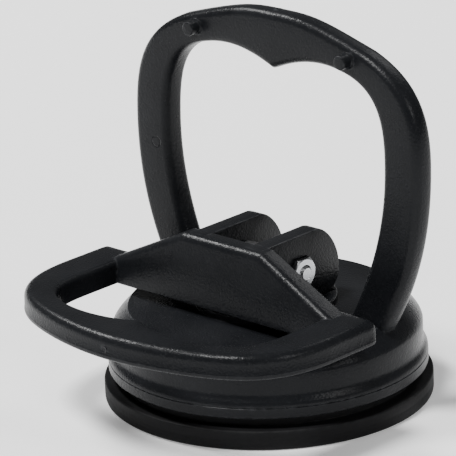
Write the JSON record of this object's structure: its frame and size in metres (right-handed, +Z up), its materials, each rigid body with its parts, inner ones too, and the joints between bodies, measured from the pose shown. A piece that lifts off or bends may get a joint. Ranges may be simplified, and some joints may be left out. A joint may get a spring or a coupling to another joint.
{
  "type": "lever suction cup",
  "caption": "Lever suction cup: a flat rubber pad under a bell with a fixed loop handle, and a folding loop lever that pulls the pad up into the bell.",
  "frame": {"origin": "middle of the pad's flat underside, at rest", "axes": "+Z up from the surface that the pad sticks to; X along the pivot bolt, with its nut on +X; the lever's loop points to -Y at rest and the fixed handle stands on the +Y side"},
  "size_m": [0.063, 0.0664, 0.0647],
  "materials": {
    "pad_rubber": "matt moulded",
    "black_plastic": "satin moulded",
    "plated_steel": "dull plated",
    "zinc_steel": "bright zinc"
  },
  "bodies": {
    "base": {"housing": "black_plastic", "rubber_cup": "pad_rubber"},
    "stem": {"pull_stem": "plated_steel", "anchor_plate": "plated_steel"},
    "lever": {"lever": "black_plastic", "pivot_bolt": "zinc_steel", "hex_nut": "zinc_steel"}
  },
  "joints": [
    {"name": "stem_lift", "type": "slide", "parent": "base", "child": "stem", "axis": [0, 0, 1], "range_m": [0, 0.0046], "deforming": ["rubber_cup"]},
    {"name": "lever_swing", "type": "hinge", "parent": "stem", "child": "lever", "pos_m": [0, 0, 0.02225], "axis": [-1, 0, 0], "range_deg": [0, 92.5]}
  ],
  "couplings": [
    {"joint": "stem_lift", "follows": "lever_swing", "m_per_rad": 0.0028}
  ]
}
